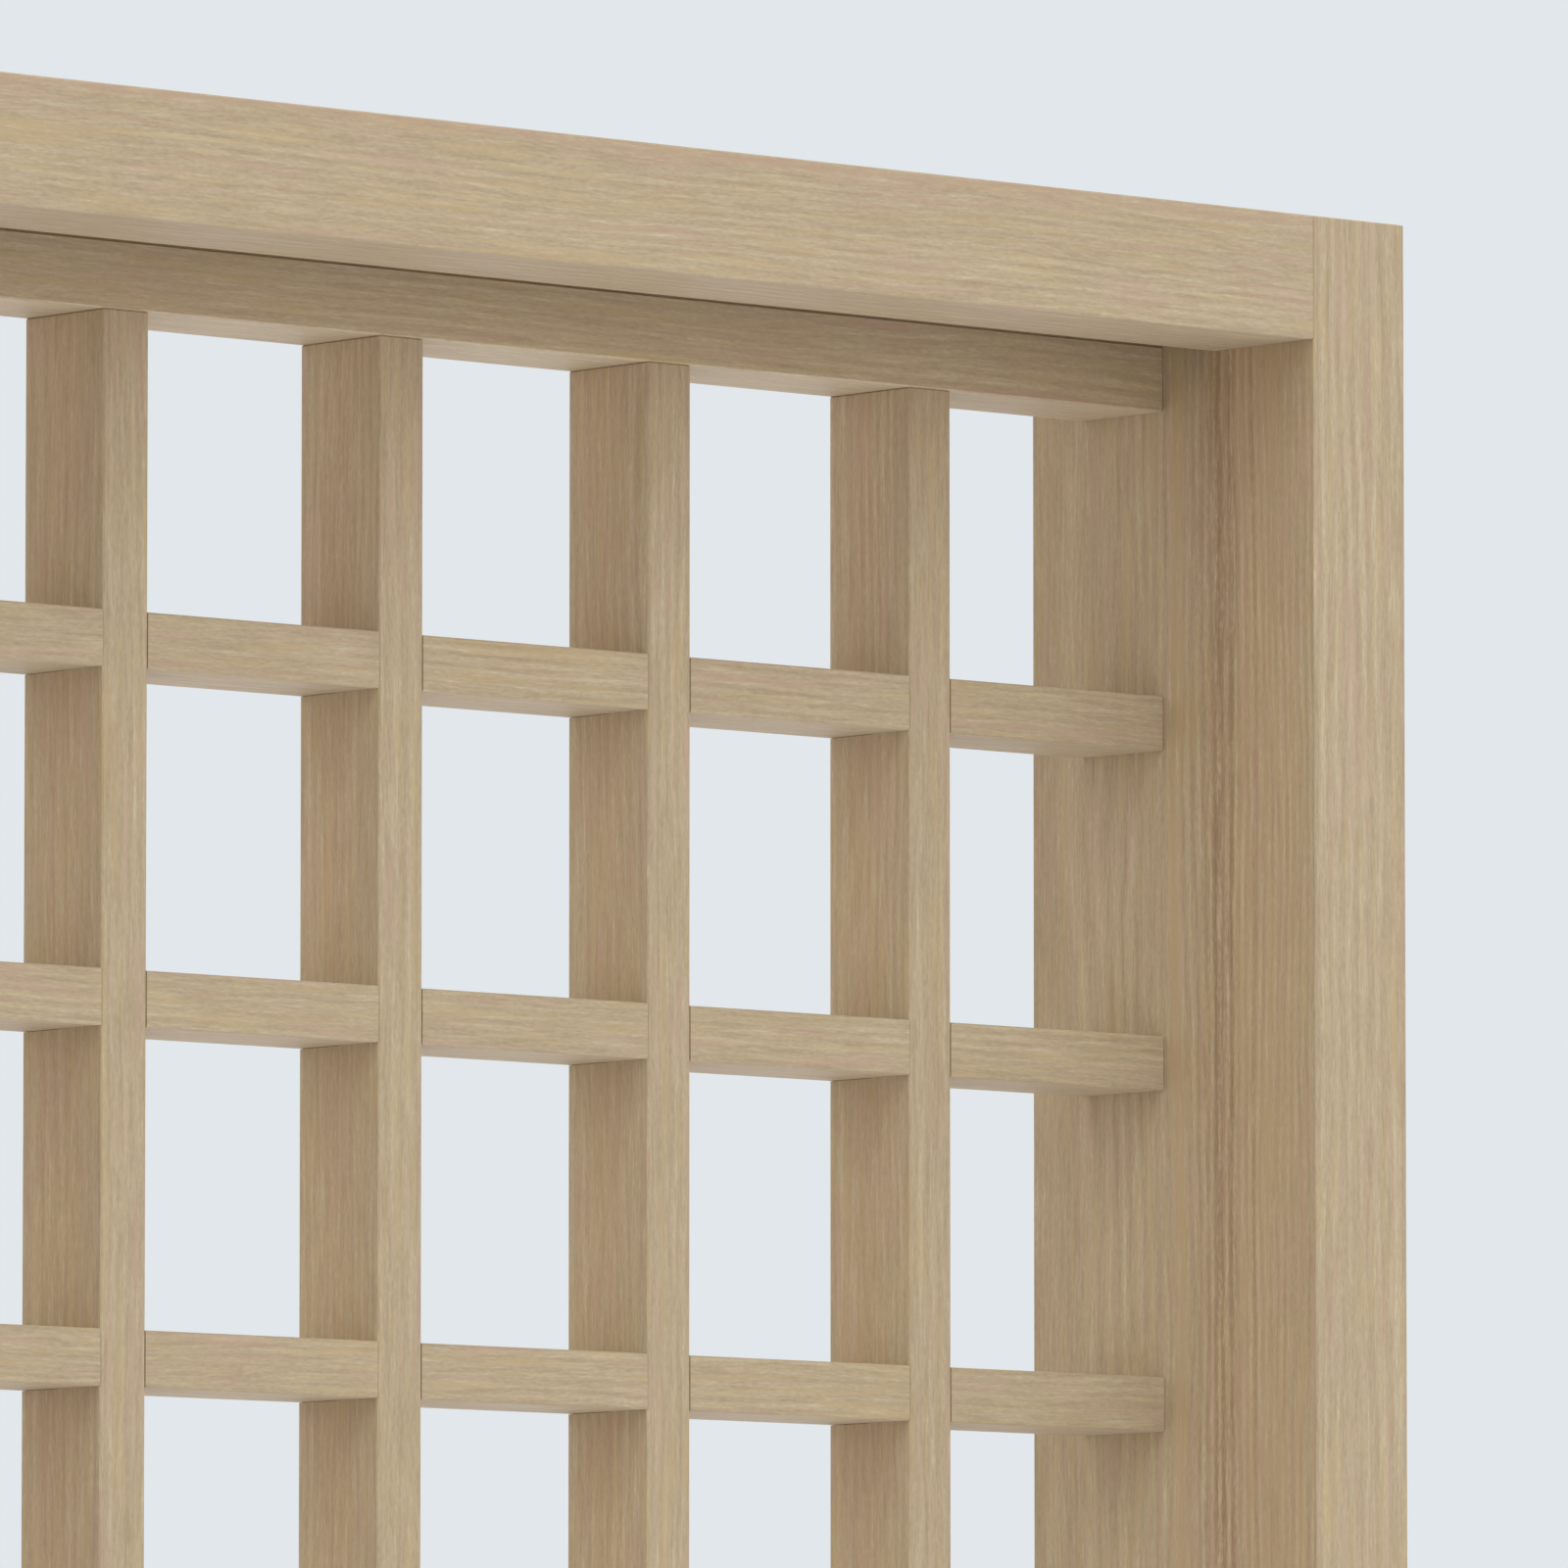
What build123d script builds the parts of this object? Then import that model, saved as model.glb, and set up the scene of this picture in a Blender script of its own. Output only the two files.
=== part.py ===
# Wooden grid partition: a deep frame of two posts, a head and a sill, with a square lattice set inside it.
# Frame of the model: X along the partition, the front towards -Y, +Z up, origin at the middle of the foot.
import os

from build123d import *

os.makedirs("parts", exist_ok=True)

# Lattice, in millimetres
columns = 6              # openings from post to post
rows = 11                # openings from rail to rail
cell_clear = 158         # clear opening of one cell, both ways
bar_face = 30            # face of uprights and crossbars
lattice_depth = 66       # front to back of every lattice piece
rail_reveal = 30         # what shows of a lattice rail past the beam in front of it

# Frame
post_face = 68
front_setback = 122      # from the front of the posts to the front of the lattice
rear_setback = 42        # from the back of the lattice to the back of the posts
beam_height = 68         # head and sill beams, flush with the front of the posts
beam_depth = 80
board_thickness = 32     # boards behind the beams, which hold the lattice rails

# Joinery
arris = 0.8              # eased edges
seam = 0.25              # play at each side of a lap, a tongue, a tenon or a screw
mortise_relief = 1.5     # free depth past the end of a tenon or a screw
bar_tenon_length = 20
frame_tenon_length = 28
tongue_height = 8        # tongues of the lattice rails, in grooves of the boards
narrow_tenon_share = 0.4     # of the timber, across its thinner way
wide_tenon_share = 0.7       # of the timber, across its wider way

# Screws through the posts into the ends of the beams
screw_length = 120
screw_shank = 7
screw_point = 8          # length of the pointed tip
screw_head = 15
screw_head_height = 5
counterbore_depth = 18
counterbore_play = 1     # round the head
screw_spacing_share = 0.35   # of the beam's height

overrun = 5              # how far a cut runs past the face that it opens

# Sizes that follow
pitch = cell_clear + bar_face
clear_width = columns * pitch - bar_face
clear_height = rows * pitch - bar_face
rail_height = beam_height + rail_reveal - board_thickness
post_depth = front_setback + lattice_depth + rear_setback
board_depth = post_depth - beam_depth
overall_height = clear_height + 2 * (rail_reveal + beam_height)
lap_depth = lattice_depth / 2

# Places that follow
middle = overall_height / 2
inner_x = clear_width / 2
outer_x = inner_x + post_face
front_y = -post_depth / 2
beam_y = front_y + beam_depth / 2
board_y = front_y + beam_depth + board_depth / 2
lattice_y = front_y + front_setback + lattice_depth / 2
beam_rise = middle - beam_height / 2
board_rise = middle - board_thickness / 2
rail_rise = middle - board_thickness - rail_height / 2
upright_xs = [pitch * (i - columns / 2) for i in range(1, columns)]
crossbar_zs = [middle - pitch * (i - rows / 2) for i in range(1, rows)]
screw_seat_x = outer_x - counterbore_depth
screw_end_x = screw_seat_x - screw_length


# Places of the screws in the head (up is 1) or the sill (up is -1), in the YZ plane
def screw_places(up):
    reach = beam_height * screw_spacing_share / 2
    return [(beam_y, middle + up * beam_rise + step) for step in (-reach, reach)]


# A timber from post to post, eased all round; its tenons are shares of its depth and height
def timber(y, z, depth, height, depth_share, height_share, tenon_length):
    with BuildPart() as length_of_wood:
        with BuildSketch(Plane.YZ.offset(-inner_x)):
            with Locations((y, z)):
                Rectangle(depth, height)
        extrude(amount=clear_width)
        chamfer(length_of_wood.edges(), arris)
        with BuildSketch(Plane.YZ.offset(-inner_x - tenon_length)):
            with Locations((y, z)):
                Rectangle(depth * depth_share, height * height_share)
        extrude(amount=clear_width + 2 * tenon_length)
    return length_of_wood.part


# Posts: mortised in the inner face, bored and counterbored from the outer one
crossbar_mortises = (
    [(lattice_y, z) for z in crossbar_zs],
    lattice_depth * wide_tenon_share,
    bar_face * narrow_tenon_share,
    bar_tenon_length,
)
rail_mortises = (
    [(lattice_y, middle + up * rail_rise) for up in (-1, 1)],
    lattice_depth * narrow_tenon_share,
    rail_height * wide_tenon_share,
    frame_tenon_length,
)
beam_mortises = (
    [(beam_y, middle + up * beam_rise) for up in (-1, 1)],
    beam_depth * narrow_tenon_share,
    beam_height * wide_tenon_share,
    frame_tenon_length,
)
board_mortises = (
    [(board_y, middle + up * board_rise) for up in (-1, 1)],
    board_depth * wide_tenon_share,
    board_thickness * narrow_tenon_share,
    frame_tenon_length,
)
mortises = (crossbar_mortises, rail_mortises, beam_mortises, board_mortises)
screws_yz = screw_places(-1) + screw_places(1)
for name, hand in (("post_left", -1), ("post_right", 1)):
    with BuildPart() as post:
        with BuildSketch(Plane.XY):
            with Locations((hand * (inner_x + post_face / 2), 0)):
                Rectangle(post_face, post_depth)
        extrude(amount=overall_height)
        chamfer(post.edges(), arris)
        for places, depth, height, length in mortises:
            with BuildSketch(Plane.YZ.offset(hand * inner_x)):
                with Locations(places):
                    Rectangle(depth + 2 * seam, height + 2 * seam)
            extrude(amount=hand * (length + mortise_relief), mode=Mode.SUBTRACT)
        with Locations([Plane((hand * outer_x, y, z), z_dir=(hand, 0, 0)) for y, z in screws_yz]):
            CounterBoreHole(
                radius=screw_shank / 2 + seam,
                counter_bore_radius=screw_head / 2 + counterbore_play,
                counter_bore_depth=counterbore_depth,
                depth=post_face,
            )
    post.part.label = name
    export_step(post.part, f"parts/{name}.step")

# Head above and sill below: a beam at the front, a board behind it and the lattice rail on the board
for place, rail_name, up in (("head", "lattice_top_rail", 1), ("sill", "lattice_bottom_rail", -1)):
    with BuildPart() as beam:
        add(timber(beam_y, middle + up * beam_rise, beam_depth, beam_height,
                   narrow_tenon_share, wide_tenon_share, frame_tenon_length))
        tenon_end_x = inner_x + frame_tenon_length
        for hand in (-1, 1):
            ends = [Plane((hand * tenon_end_x, y, z), z_dir=(hand, 0, 0)) for y, z in screw_places(up)]
            with Locations(ends):
                Hole(screw_shank / 2 + seam, tenon_end_x - screw_end_x + mortise_relief)
    beam.part.label = f"{place}_beam"
    export_step(beam.part, f"parts/{place}_beam.step")

    tongue_width = lattice_depth * narrow_tenon_share
    tongue_plane = Plane((-inner_x, lattice_y, middle + up * (middle - board_thickness)),
                         x_dir=(0, 1, 0), z_dir=(1, 0, 0))
    with BuildPart() as board:
        add(timber(board_y, middle + up * board_rise, board_depth, board_thickness,
                   wide_tenon_share, narrow_tenon_share, frame_tenon_length))
        with BuildSketch(tongue_plane):
            Rectangle(tongue_width + 2 * seam, 2 * (tongue_height + seam))
        extrude(amount=clear_width, mode=Mode.SUBTRACT)
    board.part.label = f"{place}_board"
    export_step(board.part, f"parts/{place}_board.step")

    with BuildPart() as rail:
        add(timber(lattice_y, middle + up * rail_rise, lattice_depth, rail_height,
                   narrow_tenon_share, wide_tenon_share, frame_tenon_length))
        with BuildSketch(tongue_plane):
            Rectangle(tongue_width, 2 * tongue_height)
        extrude(amount=clear_width)
        with BuildSketch(Plane.XY.offset(middle + up * clear_height / 2)):
            with Locations([(x, lattice_y) for x in upright_xs]):
                Rectangle(bar_face * narrow_tenon_share + 2 * seam, lattice_depth * wide_tenon_share + 2 * seam)
        extrude(amount=up * (bar_tenon_length + mortise_relief), mode=Mode.SUBTRACT)
    rail.part.label = rail_name
    export_step(rail.part, f"parts/{rail_name}.step")

# Uprights: whole in front, halved from behind where the crossbars pass
for number, x in enumerate(upright_xs, 1):
    with BuildPart() as upright:
        with BuildSketch(Plane.XY.offset(middle - clear_height / 2)):
            with Locations((x, lattice_y)):
                Rectangle(bar_face, lattice_depth)
        extrude(amount=clear_height)
        chamfer(upright.edges(), arris)
        with BuildSketch(Plane.XY.offset(middle - clear_height / 2 - bar_tenon_length)):
            with Locations((x, lattice_y)):
                Rectangle(bar_face * narrow_tenon_share, lattice_depth * wide_tenon_share)
        extrude(amount=clear_height + 2 * bar_tenon_length)
        with BuildSketch(Plane.XZ.offset(-lattice_y)):
            with Locations([(x, z) for z in crossbar_zs]):
                Rectangle(bar_face + 2 * overrun, bar_face + 2 * seam)
        extrude(amount=-(lap_depth + overrun), mode=Mode.SUBTRACT)
    upright.part.label = f"upright_{number}"
    export_step(upright.part, f"parts/upright_{number}.step")

# Crossbars: whole behind, halved from the front where they cross the uprights
for number, z in enumerate(crossbar_zs, 1):
    with BuildPart() as crossbar:
        add(timber(lattice_y, z, lattice_depth, bar_face,
                   wide_tenon_share, narrow_tenon_share, bar_tenon_length))
        with BuildSketch(Plane.XZ.offset(-lattice_y)):
            with Locations([(x, z) for x in upright_xs]):
                Rectangle(bar_face + 2 * seam, bar_face + 2 * overrun)
        extrude(amount=lap_depth + overrun, mode=Mode.SUBTRACT)
    crossbar.part.label = f"crossbar_{number:02d}"
    export_step(crossbar.part, f"parts/crossbar_{number:02d}.step")

# Screws, turned about +X at the left post and mirrored to the right one
with BuildPart() as frame_screws:
    for y, z in screws_yz:
        with BuildSketch(Plane((-screw_seat_x, y, z), x_dir=(1, 0, 0), z_dir=(0, -1, 0))):
            with BuildLine():
                Polyline(
                    (-screw_head_height, 0),
                    (-screw_head_height, screw_head / 2),
                    (0, screw_head / 2),
                    (0, screw_shank / 2),
                    (screw_length - screw_point, screw_shank / 2),
                    (screw_length, 0),
                    close=True,
                )
            make_face()
        revolve(axis=Axis((-screw_seat_x, y, z), (1, 0, 0)))
    mirror(about=Plane.YZ)
frame_screws.part.label = "frame_screws"
export_step(frame_screws.part, "parts/frame_screws.step")
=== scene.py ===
import math
import random
import bmesh
import bpy
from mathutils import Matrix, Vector


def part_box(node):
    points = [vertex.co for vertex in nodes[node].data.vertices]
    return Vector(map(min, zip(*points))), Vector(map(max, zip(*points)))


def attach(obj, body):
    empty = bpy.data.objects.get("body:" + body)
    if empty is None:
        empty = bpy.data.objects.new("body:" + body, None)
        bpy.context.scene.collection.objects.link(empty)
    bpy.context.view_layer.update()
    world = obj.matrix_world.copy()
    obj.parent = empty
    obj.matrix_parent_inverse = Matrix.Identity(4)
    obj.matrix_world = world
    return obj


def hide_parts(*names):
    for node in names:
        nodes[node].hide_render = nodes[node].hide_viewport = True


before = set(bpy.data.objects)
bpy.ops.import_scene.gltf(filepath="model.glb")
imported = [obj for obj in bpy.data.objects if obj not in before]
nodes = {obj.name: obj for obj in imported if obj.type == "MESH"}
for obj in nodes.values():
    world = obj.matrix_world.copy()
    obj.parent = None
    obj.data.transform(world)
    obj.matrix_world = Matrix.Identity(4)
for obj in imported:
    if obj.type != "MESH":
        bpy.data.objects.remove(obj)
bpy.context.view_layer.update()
mm = 0.001                      # m, the scene's own unit
print("frame loaded with", len(nodes), "nodes")


# adds a node with its settings, and fills or links its inputs, by name or number; a list is several links
def addNode(tree, kind, inputs=None, **settings):
    node = tree.nodes.new(kind)
    for key, value in settings.items():
        setattr(node, key, value)
    for key, value in (inputs or {}).items():
        links = value if isinstance(value, list) else [value]
        if isinstance(links[0], bpy.types.NodeSocket):
            for link in links:
                tree.links.new(link, node.inputs[key])
        else:
            node.inputs[key].default_value = value
    return node


mixFrom, mixTo, mixed = 6, 7, 2     # colour sockets of a Mix node, which share their names with others


# sRGB hex to the linear colour that the sockets take
def fromHex(code):
    channels = [int(code[i:i + 2], 16) / 255 for i in (1, 3, 5)]
    return [c / 12.92 if c <= 0.04045 else ((c + 0.055) / 1.055) ** 2.4 for c in channels] + [1.0]


# Camera, at the photograph's place: the top right corner, seen a little from below with a long lens
camera = {
    "place": (-5.5877, -6.6591, 1.1378),
    "turnedRight": 41.3064,     # degrees from straight on
    "tiltedUp": 4.9945,
    "lens": 378.42,             # mm
    "sensor": 36,               # mm, the width of the square frame
    "farthest": 500,            # m
}

cameraData = bpy.data.cameras.new("camera")
cameraData.lens = camera["lens"]
cameraData.sensor_width = camera["sensor"]
cameraData.clip_end = camera["farthest"]
cameraObject = bpy.data.objects.new("camera", cameraData)
cameraObject.location = camera["place"]
cameraObject.rotation_euler = (
    math.radians(90 + camera["tiltedUp"]),
    0,
    -math.radians(camera["turnedRight"]),
)
bpy.context.collection.objects.link(cameraObject)
bpy.context.scene.camera = cameraObject
bpy.context.scene.view_settings.view_transform = "Standard"
print("camera set")


# Studio: a wide even sky, two soft lamps above and a cool light thrown up from below, over a pale floor;
# a level of 1 all round would show every colour as written
studio = {
    "backdrop": "#e2e7eb",
    "horizon": "#ffefde",       # light from the sides
    "horizonLevel": 0.85,
    "zenith": "#ffffff",        # light from above
    "zenithLevel": 0.81,
    "floor": "#dad4d3",
    "floorShown": "#dce2eb",    # the floor as the camera sees it, as pale as the backdrop
    "floorRoughness": 0.9,
    "floorGloss": 0.1,
    "floorSize": 300,           # m
    "floorDrop": 0.3,           # mm below the foot, so that their faces stay apart
}
lamps = {
    "left lamp": {"from": (-0.62, -0.12, 0.78), "spread": 60, "colour": "#fffeef", "level": 0.26},
    "front lamp": {"from": (0.0, -0.75, 0.66), "spread": 60, "colour": "#dbf1ff", "level": 0.22},
    "low lamp": {"from": (0.0, -0.15, -1.0), "spread": 70, "colour": "#dae7ff", "level": 0.60},
}


# 1 for what the camera sees, also in a mirror or through glass, and 0 for what lights the object
def seenShare(tree):
    path = addNode(tree, "ShaderNodeLightPath").outputs
    seen = addNode(tree, "ShaderNodeMath", {0: path["Is Camera Ray"], 1: path["Is Glossy Ray"]}).outputs[0]
    through = path["Is Transmission Ray"]
    return addNode(tree, "ShaderNodeMath", {0: seen, 1: through}, use_clamp=True).outputs[0]


world = bpy.data.worlds.new("studio")
bpy.context.scene.world = world
world.use_nodes = True
tree = world.node_tree
tree.nodes.clear()
direction = addNode(tree, "ShaderNodeTexCoord").outputs["Generated"]
rise = addNode(tree, "ShaderNodeSeparateXYZ", {0: direction}).outputs["Z"]
glow = {}
for part in ("horizon", "zenith"):
    level = studio[part + "Level"]
    glow[part] = [level * channel for channel in fromHex(studio[part])[:3]] + [1.0]
sky = addNode(tree, "ShaderNodeMix", {0: rise, mixFrom: glow["horizon"], mixTo: glow["zenith"]},
              data_type="RGBA").outputs[mixed]
light = addNode(tree, "ShaderNodeBackground", {"Color": sky, "Strength": 1.0}).outputs[0]
backdrop = addNode(tree, "ShaderNodeBackground",
                   {"Color": fromHex(studio["backdrop"]), "Strength": 1.0}).outputs[0]
shown = addNode(tree, "ShaderNodeMixShader", {0: seenShare(tree), 1: light, 2: backdrop}).outputs[0]
addNode(tree, "ShaderNodeOutputWorld", {"Surface": shown})

half = studio["floorSize"] / 2
drop = -studio["floorDrop"] * mm
corners = [(-half, -half, drop), (half, -half, drop), (half, half, drop), (-half, half, drop)]
floorMesh = bpy.data.meshes.new("floor")
floorMesh.from_pydata(corners, [], [(0, 1, 2, 3)])
floor = bpy.data.objects.new("floor", floorMesh)
bpy.context.collection.objects.link(floor)
floor.visible_shadow = False    # lets the low lamp through

# matt floor paint: even, with no gloss that would show the frame
floorPaint = bpy.data.materials.new("matt floor paint")
floorPaint.use_nodes = True
tree = floorPaint.node_tree
paint = tree.nodes["Principled BSDF"]
paint.inputs["Roughness"].default_value = studio["floorRoughness"]
paint.inputs["Specular IOR Level"].default_value = studio["floorGloss"]
floorColours = {0: seenShare(tree), mixFrom: fromHex(studio["floor"]), mixTo: fromHex(studio["floorShown"])}
colour = addNode(tree, "ShaderNodeMix", floorColours, data_type="RGBA").outputs[mixed]
tree.links.new(colour, paint.inputs["Base Color"])
floorMesh.materials.append(floorPaint)

for name, setting in lamps.items():
    lamp = bpy.data.lights.new(name, "SUN")
    lamp.energy = setting["level"] * math.pi
    lamp.color = fromHex(setting["colour"])[:3]
    lamp.angle = math.radians(setting["spread"])
    lampObject = bpy.data.objects.new(name, lamp)
    lampObject.rotation_euler = Vector(setting["from"]).to_track_quat("Z", "Y").to_euler()
    bpy.context.collection.objects.link(lampObject)
print("studio lit")


# Matt lacquered oak, planed from straight rift-sawn boards: fine broken lines run along every long face,
# faint pinkish and straw-coloured bands lie between them, and the lacquer leaves only a soft sheen
oak = {
    "dark": "#8e765f",
    "pale": "#d8cdae",
    "pink": "#c1a492",
    "straw": "#c3ad84",
    "brown": "#7f6249",
    "amber": "#d7aa86",
    "tone": 0.48,               # from dark to pale
    "crispness": 1.9,           # above 1, pale lines stand out from an even ground
    "wanderBy": 5,              # mm that the lines stray from straight
    "poreEdges": (0.58, 0.75),  # noise at which a pore begins and is whole
    "hueReach": 0.25,           # noise from the middle to a full band of pink or straw
    "hueShare": 0.5,
    "ringMm": 5.5,              # between growth rings
    "ringShare": 0.045,
    "ringSpan": (0.35, 0.65),   # noise of the broad layer, from faint rings to bold ones
    "ringSwing": (0.3, 1.7),    # how faint and how bold
    "heartMm": (130, 210),      # from a timber's middle to the heart of its log
    "heartTurn": (45, 14),      # degrees from a face to the heart, and how far that varies
    "logReach": 9,              # m of the pattern that boards are taken from, either way
    "lineSpan": (0.3, 0.7),     # from dark lines to pale ones
    "streakSwing": (1.8, 0.2),  # how streaks take on dark lines and on pale ones
    "roughness": (0.62, 0.5),   # of dark lines and of pale ones
    "gloss": 0.2,
    "reliefMm": 0.15,
    "reliefStrength": 0.5,
}
# layers of noise: cells across and along the grain in mm, octaves, their roughness, share in the tone;
# real pores are a third of this width, too fine to show, and they are limed pale
grainLayers = {
    "wander": {"mm": (60, 250), "octaves": 1.0, "rough": 0.5},
    "broad": {"mm": (24, 330), "octaves": 1.0, "rough": 0.6, "share": 0.13},
    "lines": {"mm": (2.4, 40), "octaves": 1.0, "rough": 0.8, "share": 0.46},
    "flecks": {"mm": (1.2, 5), "octaves": 1.0, "rough": 0.6, "share": 0.40},
    "pores": {"mm": (0.9, 14), "octaves": 0.0, "rough": 0.5, "share": 0.08},
    "hue": {"mm": (5, 90), "octaves": 1.0, "rough": 0.5},
}
noiseMiddle = 0.5               # what a layer of noise varies about
middleTone = 0.5                # the tone that crispness leaves as it is

# streaks that deepen a board's darker lines, and painted warm shade on the uprights and the top rail:
# axis across the laid timber, mm from its middle, half width in mm, share, colour
streaksAndPaintedShade = {
    "post_right": [
        ("Y", -62, 60, 0.12, "amber"),
        ("Y", -36, 28, 0.15, "brown"),
        ("Y", -65, 4, 0.15, "brown"),
        ("Y", -48, 5, 0.24, "brown"),
        ("Y", -37, 6, 0.3, "brown"),
        ("Y", -4, 9, 0.4, "straw"),
    ],
    # painted warm shade: an amber band over the whole height of the rail, for the warm shade under the head
    # beam
    "lattice_top_rail": [("X", 0, 60, 0.08, "amber")],
    "head_beam": [("X", -31, 6, 0.3, "pink")],
}
# painted warm shade: the sides of the uprights are made darker and warmer in the middle of their depth, where
# the crossbars and the neighbouring uprights shade them; their fronts are left as they are
for name in nodes:
    if name.startswith("upright"):      # warmer at the sides than in front
        streaksAndPaintedShade[name] = [("Y", 4, 36, 0.09, "amber"), ("Y", 4, 30, 0.05, "brown")]

# boards with a grain of their own: a post with finer, bolder rings; and painted light: a rail made paler, to
# stand in for the light that reaches it under the head beam
ownGrainAndPaintedLight = {
    "post_right": {"ringMm": 4.8, "ringShare": 0.058},
    # painted light: the rail's paler tone stands in for the light under the head beam
    "lattice_top_rail": {"tone": 0.54},
}


# Map Range takes its value, the two ends that it comes from and the two that it goes to, as inputs 0 to 4
def lacqueredOak(name, lengthwise):
    pick = random.Random(name)
    own = {**oak, **ownGrainAndPaintedLight.get(name, {})}
    low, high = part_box(name)
    middle = (low + high) / 2

    material = bpy.data.materials.new("matt lacquered oak " + name)
    material.use_nodes = True
    tree = material.node_tree
    shader = tree.nodes["Principled BSDF"]
    place = addNode(tree, "ShaderNodeTexCoord").outputs["Object"]

    # the timber laid along Z with its middle at the origin
    turn = (0, -math.pi / 2, 0) if lengthwise == "X" else (0, 0, 0)
    centred = addNode(tree, "ShaderNodeVectorMath", {0: place, 1: middle}, operation="SUBTRACT").outputs[0]
    laid = addNode(tree, "ShaderNodeMapping", {"Vector": centred, "Rotation": turn}).outputs[0]

    def grain(board, layer):
        across, along = [1 / (size * mm) for size in layer["mm"]]
        scaled = addNode(tree, "ShaderNodeVectorMath", {0: board, 1: (across, across, along)},
                         operation="MULTIPLY").outputs[0]
        noise = {"Vector": scaled, "Scale": 1.0, "Detail": layer["octaves"], "Roughness": layer["rough"]}
        return addNode(tree, "ShaderNodeTexNoise", noise).outputs

    # each board starts at a place of its own in the log, and its lines stray a little from straight
    start = [pick.uniform(-oak["logReach"], oak["logReach"]) for _ in range(3)]
    board = addNode(tree, "ShaderNodeVectorMath", {0: laid, 1: start}).outputs[0]
    stray = grain(board, grainLayers["wander"])["Color"]
    stray = addNode(tree, "ShaderNodeVectorMath", {0: stray, 1: [noiseMiddle] * 3},
                    operation="SUBTRACT").outputs[0]
    reach = [2 * oak["wanderBy"] * mm, 2 * oak["wanderBy"] * mm, 0]
    stray = addNode(tree, "ShaderNodeVectorMath", {0: stray, 1: reach}, operation="MULTIPLY").outputs[0]
    board = addNode(tree, "ShaderNodeVectorMath", {0: board, 1: stray}).outputs[0]
    wavy = addNode(tree, "ShaderNodeVectorMath", {0: laid, 1: stray}).outputs[0]

    broad = grain(board, grainLayers["broad"])[0]
    lines = grain(board, grainLayers["lines"])[0]
    flecks = grain(board, grainLayers["flecks"])[0]
    pores = grain(board, grainLayers["pores"])[0]
    hue = grain(board, grainLayers["hue"])[0]
    begins, whole = oak["poreEdges"]
    pores = addNode(tree, "ShaderNodeMapRange", {0: pores, 1: begins, 2: whole, 3: 0.0, 4: 1.0}).outputs[0]

    # growth rings round the heart of the log
    away = pick.uniform(*oak["heartMm"]) * mm
    faceTurn, varies = oak["heartTurn"]
    slant = math.radians(faceTurn + 90 * pick.randrange(4) + pick.uniform(-varies, varies))
    heart = (away * math.cos(slant), away * math.sin(slant), 0)
    toHeart = addNode(tree, "ShaderNodeVectorMath", {0: wavy, 1: heart}).outputs[0]
    flat = addNode(tree, "ShaderNodeVectorMath", {0: toHeart, 1: (1, 1, 0)}, operation="MULTIPLY").outputs[0]
    radius = addNode(tree, "ShaderNodeVectorMath", {0: flat}, operation="LENGTH").outputs["Value"]
    perMetre = 2 * math.pi / (own["ringMm"] * mm)
    phase = addNode(tree, "ShaderNodeMath", {0: radius, 1: perMetre}, operation="MULTIPLY").outputs[0]
    rings = addNode(tree, "ShaderNodeMath", {0: phase}, operation="SINE").outputs[0]
    swing = dict(enumerate([broad, *oak["ringSpan"], *oak["ringSwing"]]))
    strength = addNode(tree, "ShaderNodeMapRange", swing).outputs[0]
    rings = addNode(tree, "ShaderNodeMath", {0: rings, 1: strength}, operation="MULTIPLY").outputs[0]

    # how pale the wood is: the board's own tone, plus each layer's share
    pale = own["tone"]
    for layer, centre, share in (
        (broad, noiseMiddle, grainLayers["broad"]["share"]),
        (lines, noiseMiddle, grainLayers["lines"]["share"]),
        (flecks, noiseMiddle, grainLayers["flecks"]["share"]),
        (pores, 0.0, grainLayers["pores"]["share"]),
        (rings, 0.0, own["ringShare"]),
    ):
        lift = addNode(tree, "ShaderNodeMath", {0: layer, 1: centre}, operation="SUBTRACT").outputs[0]
        pale = addNode(tree, "ShaderNodeMath", {0: lift, 1: share, 2: pale},
                       operation="MULTIPLY_ADD").outputs[0]

    # a power curve that keeps the middle tone and its contrast
    power = oak["crispness"]
    bent = addNode(tree, "ShaderNodeMath", {0: pale, 1: power}, operation="POWER").outputs[0]
    steep = middleTone ** (1 - power) / power
    rest = middleTone - middleTone / power
    pale = addNode(tree, "ShaderNodeMath", {0: bent, 1: steep, 2: rest}, operation="MULTIPLY_ADD").outputs[0]
    tones = {0: pale, mixFrom: fromHex(oak["dark"]), mixTo: fromHex(oak["pale"])}
    wood = addNode(tree, "ShaderNodeMix", tones, data_type="RGBA").outputs[mixed]

    # pinkish bands where the hue layer is high, straw-coloured ones where it is low
    for colour, way in (("pink", 1), ("straw", -1)):
        full = noiseMiddle + way * oak["hueReach"]
        amount = addNode(tree, "ShaderNodeMapRange",
                         {0: hue, 1: noiseMiddle, 2: full, 3: 0.0, 4: oak["hueShare"]}).outputs[0]
        wood = addNode(tree, "ShaderNodeMix", {0: amount, mixFrom: wood, mixTo: fromHex(oak[colour])},
                       data_type="RGBA").outputs[mixed]

    across = addNode(tree, "ShaderNodeSeparateXYZ", {0: wavy}).outputs
    depth = dict(enumerate([pale, *oak["lineSpan"], *oak["streakSwing"]]))
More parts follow.
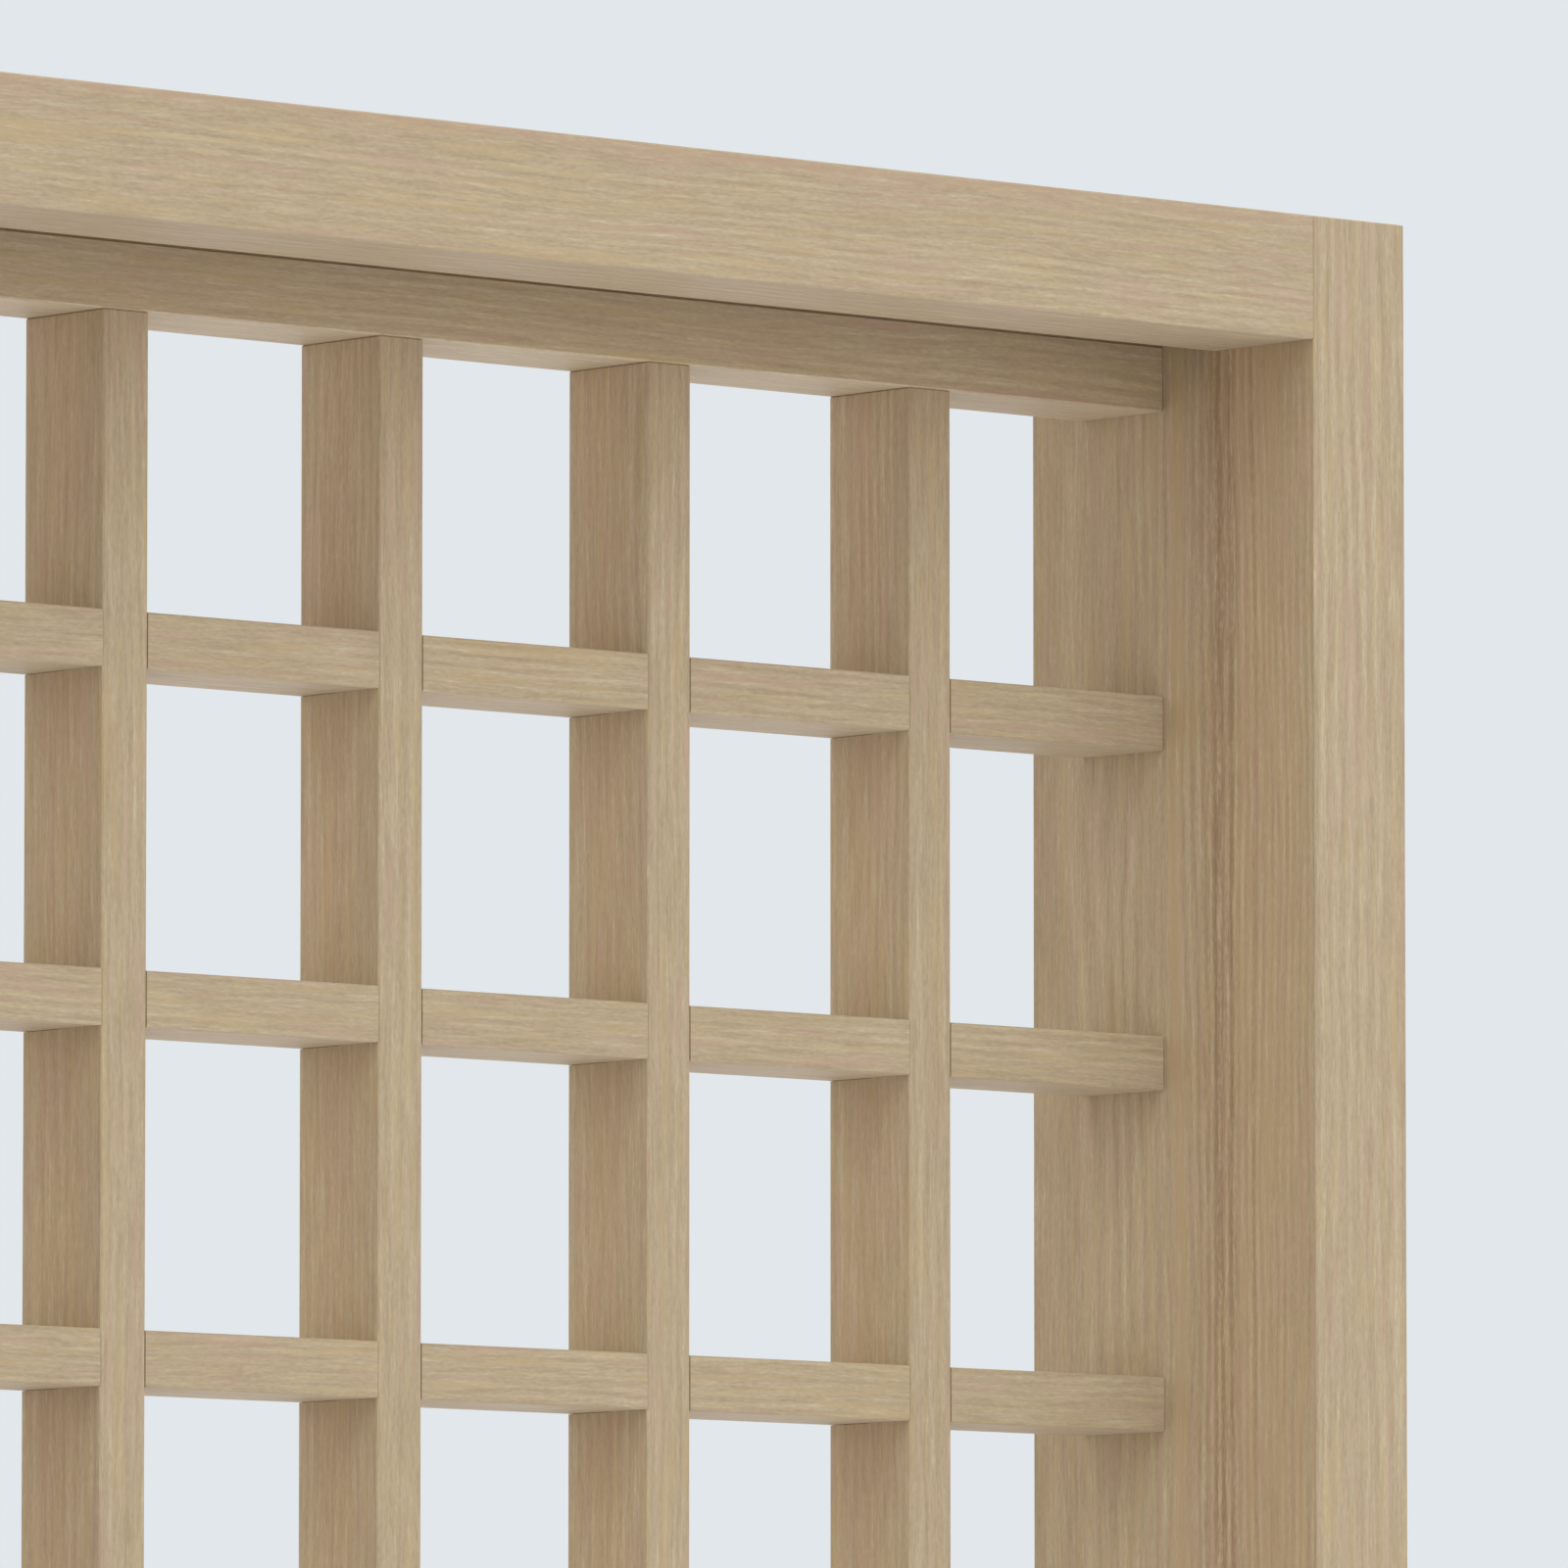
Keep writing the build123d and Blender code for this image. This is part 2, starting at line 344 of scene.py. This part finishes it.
    # streaks, among them the painted warm shade of the uprights and the top rail
    for axis, where, width, share, colour in streaksAndPaintedShade.get(name, []):
        off = addNode(tree, "ShaderNodeMath", {0: across[axis], 1: where * mm},
                      operation="SUBTRACT").outputs[0]
        off = addNode(tree, "ShaderNodeMath", {0: off}, operation="ABSOLUTE").outputs[0]
        amount = addNode(tree, "ShaderNodeMapRange", {0: off, 1: width * mm, 2: 0.0, 3: 0.0, 4: share},
                         interpolation_type="SMOOTHSTEP").outputs[0]
        taken = addNode(tree, "ShaderNodeMapRange", depth).outputs[0]
        amount = addNode(tree, "ShaderNodeMath", {0: amount, 1: taken}, operation="MULTIPLY").outputs[0]
        wood = addNode(tree, "ShaderNodeMix", {0: amount, mixFrom: wood, mixTo: fromHex(oak[colour])},
                       data_type="RGBA").outputs[mixed]
    tree.links.new(wood, shader.inputs["Base Color"])

    sheen = dict(enumerate([lines, *oak["lineSpan"], *oak["roughness"]]))
    rough = addNode(tree, "ShaderNodeMapRange", sheen).outputs[0]
    tree.links.new(rough, shader.inputs["Roughness"])
    shader.inputs["Specular IOR Level"].default_value = oak["gloss"]
    relief = {"Strength": oak["reliefStrength"], "Distance": oak["reliefMm"] * mm, "Height": pale}
    tree.links.new(addNode(tree, "ShaderNodeBump", relief).outputs[0], shader.inputs["Normal"])
    return material


lengthways = {"post": "Z", "upright": "Z", "head": "X", "sill": "X", "lattice": "X", "crossbar": "X"}
for name, node in nodes.items():
    kind = name.split("_")[0]
    if kind in lengthways:
        node.material_slots[0].material = lacqueredOak(name, lengthways[kind])
print("oak laid on the timbers")


# Shadow grooves: a narrow groove along the front of each lattice rail, a little past the edge of the beam
# in front of it, parts the two with a fine dark line
groove = {
    "past": 5.2,                # mm, from the beam's edge
    "height": 3,
    "depth": 2.2,
    "weld": 0.001,              # joins the loose triangles of a rail
}

for name, rail, beam, up in (("topRail", "lattice_top_rail", "head_beam", 1),
                             ("bottomRail", "lattice_bottom_rail", "sill_beam", -1)):
    railMesh = nodes[rail].data.copy()
    shape = bmesh.new()
    shape.from_mesh(railMesh)
    bmesh.ops.remove_doubles(shape, verts=shape.verts, dist=groove["weld"] * mm)
    shape.to_mesh(railMesh)
    shape.free()
    groovedRail = bpy.data.objects.new(name, railMesh)
    bpy.context.collection.objects.link(groovedRail)

    # the cutter stands half in front of the rail
    low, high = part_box(rail)
    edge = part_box(beam)[0].z if up > 0 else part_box(beam)[1].z
    near = edge + up * groove["past"] * mm
    far = near + up * groove["height"] * mm
    size = (high.x - low.x, 2 * groove["depth"] * mm, abs(far - near))
    centre = ((low.x + high.x) / 2, low.y, (near + far) / 2)
    cutterMesh = bpy.data.meshes.new("groove cutter")
    shape = bmesh.new()
    bmesh.ops.create_cube(shape, size=1.0)
    bmesh.ops.scale(shape, vec=size, verts=shape.verts)
    bmesh.ops.translate(shape, vec=centre, verts=shape.verts)
    shape.to_mesh(cutterMesh)
    shape.free()
    cutter = bpy.data.objects.new("groove cutter", cutterMesh)
    bpy.context.collection.objects.link(cutter)

    cut = groovedRail.modifiers.new("groove", "BOOLEAN")
    cut.operation = "DIFFERENCE"
    cut.solver = "EXACT"
    cut.object = cutter
    evaluated = groovedRail.evaluated_get(bpy.context.evaluated_depsgraph_get())
    railMesh = bpy.data.meshes.new_from_object(evaluated)
    groovedRail.modifiers.remove(cut)
    groovedRail.data = railMesh
    bpy.data.objects.remove(cutter)
    railMesh.materials.clear()
    railMesh.materials.append(nodes[rail].material_slots[0].material)
    railMesh.polygons.foreach_set("material_index", [0] * len(railMesh.polygons))
    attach(groovedRail, "root")
    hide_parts(rail)
print("rails grooved")


# Frame screws: two in each end of the head and sill beams, driven through counterbores in the posts
screw = {
    "Thread Diameter": 7.0,     # mm, as all of these
    "Core Diameter": 5.2,
    "Length": 120,
    "Point": 8,
    "Threaded Length": 70,
    "Thread Pitch": 3.5,
    "Head Diameter": 15,
    "Head Height": 5,
    "Socket Width": 5,
    "Socket Depth": 3,
}
driving = {
    "seat": 18,                 # mm below the outer face of a post
    "gap": 23.8,                # mm between the two screws of a joint
    "headEnd": 0.84,            # outer end of the head, as a share of its width
    "shankSides": 20,
    "headSides": 40,
    "headBands": 6,
    "threadSteps": 16,          # in a turn
    "ridgeSides": 4,
    "seed": 3,                  # for the turn of each screw
}

# Zinc-plated steel, cold headed: pale and cool, with a faint mottle in the plating
zinc = {
    "pale": "#cfd3d6",
    "dark": "#a9aeb2",
    "mottleMm": 1.6,
    "mottleOctaves": 2.0,
    "roughness": (0.26, 0.42),
}
zincSteel = bpy.data.materials.new("zinc-plated steel")
zincSteel.use_nodes = True
tree = zincSteel.node_tree
shader = tree.nodes["Principled BSDF"]
place = addNode(tree, "ShaderNodeTexCoord").outputs["Object"]
noise = {"Vector": place, "Scale": 1 / (zinc["mottleMm"] * mm), "Detail": zinc["mottleOctaves"]}
mottle = addNode(tree, "ShaderNodeTexNoise", noise).outputs[0]
greys = {0: mottle, mixFrom: fromHex(zinc["dark"]), mixTo: fromHex(zinc["pale"])}
plating = addNode(tree, "ShaderNodeMix", greys, data_type="RGBA").outputs[mixed]
smooth, dull = zinc["roughness"]
rough = addNode(tree, "ShaderNodeMapRange", {0: mottle, 3: smooth, 4: dull}).outputs[0]
tree.links.new(plating, shader.inputs["Base Color"])
tree.links.new(rough, shader.inputs["Roughness"])
shader.inputs["Metallic"].default_value = 1.0

tree = bpy.data.node_groups.new("frame screws", "GeometryNodeTree")
tree.interface.new_socket("Seats", in_out="INPUT", socket_type="NodeSocketGeometry")
for size in screw:
    tree.interface.new_socket(size, in_out="INPUT", socket_type="NodeSocketFloat")
tree.interface.new_socket("Screws", in_out="OUTPUT", socket_type="NodeSocketGeometry")
given = addNode(tree, "NodeGroupInput").outputs


def raised(shape, height):
    shift = addNode(tree, "ShaderNodeCombineXYZ", {"Z": height}).outputs[0]
    return addNode(tree, "GeometryNodeTransform", {"Geometry": shape, "Translation": shift}).outputs[0]


radii = {}
for part in ("Core", "Thread", "Head"):
    width = given[part + " Diameter"]
    radii[part] = addNode(tree, "ShaderNodeMath", {0: width, 1: 0.5}, operation="MULTIPLY").outputs[0]

# one screw points up from its seat at the origin: shank, point and thread above, head below
straight = addNode(tree, "ShaderNodeMath", {0: given["Length"], 1: given["Point"]},
                   operation="SUBTRACT").outputs[0]
halfway = addNode(tree, "ShaderNodeMath", {0: straight, 1: 0.5}, operation="MULTIPLY").outputs[0]
shank = addNode(tree, "GeometryNodeMeshCylinder",
                {"Vertices": driving["shankSides"], "Radius": radii["Core"], "Depth": straight})
shank = raised(shank.outputs["Mesh"], halfway)
point = addNode(tree, "GeometryNodeMeshCone",
                {"Vertices": driving["shankSides"], "Radius Top": 0.0, "Radius Bottom": radii["Core"],
                 "Depth": given["Point"]})
point = raised(point.outputs["Mesh"], straight)

threaded = given["Threaded Length"]
turns = addNode(tree, "ShaderNodeMath", {0: threaded, 1: given["Thread Pitch"]},
                operation="DIVIDE").outputs[0]
helix = addNode(tree, "GeometryNodeCurveSpiral",
                {"Resolution": driving["threadSteps"], "Rotations": turns, "Start Radius": radii["Core"],
                 "End Radius": radii["Core"], "Height": threaded}).outputs[0]
helix = addNode(tree, "GeometryNodeSetCurveNormal", {"Curve": helix}, mode="Z_UP").outputs[0]
crest = addNode(tree, "ShaderNodeMath", {0: radii["Thread"], 1: radii["Core"]},
                operation="SUBTRACT").outputs[0]
ridge = addNode(tree, "GeometryNodeCurvePrimitiveCircle",
                {"Resolution": driving["ridgeSides"], "Radius": crest}).outputs["Curve"]
thread = addNode(tree, "GeometryNodeCurveToMesh", {"Curve": helix, "Profile Curve": ridge, "Fill Caps": True})
plain = addNode(tree, "ShaderNodeMath", {0: straight, 1: threaded}, operation="SUBTRACT").outputs[0]
thread = raised(thread.outputs[0], plain)

# the head narrows towards its outer end and has a hexagon socket
head = addNode(tree, "GeometryNodeMeshCylinder",
               {"Vertices": driving["headSides"], "Side Segments": driving["headBands"],
                "Radius": radii["Head"], "Depth": given["Head Height"]}).outputs["Mesh"]
position = addNode(tree, "GeometryNodeInputPosition").outputs[0]
height = addNode(tree, "ShaderNodeSeparateXYZ", {0: position}).outputs["Z"]
outerEnd = addNode(tree, "ShaderNodeMath", {0: given["Head Height"], 1: -0.5},
                   operation="MULTIPLY").outputs[0]
narrow = addNode(tree, "ShaderNodeMapRange", {0: height, 1: outerEnd, 2: 0.0, 3: driving["headEnd"], 4: 1.0},
                 interpolation_type="SMOOTHERSTEP").outputs[0]
narrow = addNode(tree, "ShaderNodeCombineXYZ", {"X": narrow, "Y": narrow, "Z": 1.0}).outputs[0]
narrow = addNode(tree, "ShaderNodeVectorMath", {0: position, 1: narrow}, operation="MULTIPLY").outputs[0]
head = addNode(tree, "GeometryNodeSetPosition", {"Geometry": head, "Position": narrow}).outputs[0]
keyDepth = addNode(tree, "ShaderNodeMath", {0: given["Socket Depth"], 1: 2.0},
                   operation="MULTIPLY").outputs[0]
keyRadius = addNode(tree, "ShaderNodeMath", {0: given["Socket Width"], 1: math.sqrt(3)},
                    operation="DIVIDE").outputs[0]
key = addNode(tree, "GeometryNodeMeshCylinder", {"Vertices": 6, "Depth": keyDepth, "Radius": keyRadius})
key = raised(key.outputs["Mesh"], outerEnd)
head = addNode(tree, "GeometryNodeMeshBoolean", {"Mesh 1": head, "Mesh 2": key},
               operation="DIFFERENCE").outputs["Mesh"]
head = raised(head, outerEnd)

# every seat gets a screw that points inwards, turned about its axis by chance
whole = addNode(tree, "GeometryNodeJoinGeometry", {0: [shank, point, thread, head]}).outputs[0]
side = addNode(tree, "ShaderNodeSeparateXYZ", {0: position}).outputs["X"]
inwards = addNode(tree, "ShaderNodeMath", {0: side, 1: -1.0}, operation="MULTIPLY").outputs[0]
inwards = addNode(tree, "ShaderNodeCombineXYZ", {"X": inwards}).outputs[0]
aim = addNode(tree, "FunctionNodeAlignRotationToVector", {"Vector": inwards}, axis="Z").outputs[0]
spin = addNode(tree, "FunctionNodeRandomValue",
               {"Min": (0, 0, 0), "Max": (0, 0, math.pi), "Seed": driving["seed"]},
               data_type="FLOAT_VECTOR").outputs[0]
aim = addNode(tree, "FunctionNodeRotateRotation", {"Rotation": aim, "Rotate By": spin},
              rotation_space="LOCAL").outputs[0]
driven = addNode(tree, "GeometryNodeInstanceOnPoints",
                 {"Points": given["Seats"], "Instance": whole, "Rotation": aim}).outputs[0]
driven = addNode(tree, "GeometryNodeRealizeInstances", {"Geometry": driven}).outputs[0]
driven = addNode(tree, "GeometryNodeSetMaterial", {"Geometry": driven, "Material": zincSteel}).outputs[0]
addNode(tree, "NodeGroupOutput", {0: driven})

seats = []
for beam in ("head_beam", "sill_beam"):
    low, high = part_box(beam)
    for post, hand in (("post_left", -1), ("post_right", 1)):
        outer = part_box(post)[0].x if hand < 0 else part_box(post)[1].x
        seatX = outer - hand * driving["seat"] * mm
        for step in (-driving["gap"] / 2, driving["gap"] / 2):
            seats.append((seatX, (low.y + high.y) / 2, (low.z + high.z) / 2 + step * mm))
seatMesh = bpy.data.meshes.new("screw seats")
seatMesh.from_pydata(seats, [], [])
frameScrews = bpy.data.objects.new("frameScrews", seatMesh)
bpy.context.collection.objects.link(frameScrews)
drive = frameScrews.modifiers.new("frame screws", "NODES")
drive.node_group = tree
for socket in tree.interface.items_tree:
    if socket.name in screw:
        drive[socket.identifier] = screw[socket.name] * mm
evaluated = frameScrews.evaluated_get(bpy.context.evaluated_depsgraph_get())
drivenMesh = bpy.data.meshes.new_from_object(evaluated)
frameScrews.modifiers.remove(drive)
frameScrews.data = drivenMesh
drivenMesh.materials.clear()
drivenMesh.materials.append(zincSteel)
drivenMesh.polygons.foreach_set("material_index", [0] * len(drivenMesh.polygons))
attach(frameScrews, "root")
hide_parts("frame_screws")
print("screws driven:", len(seats))
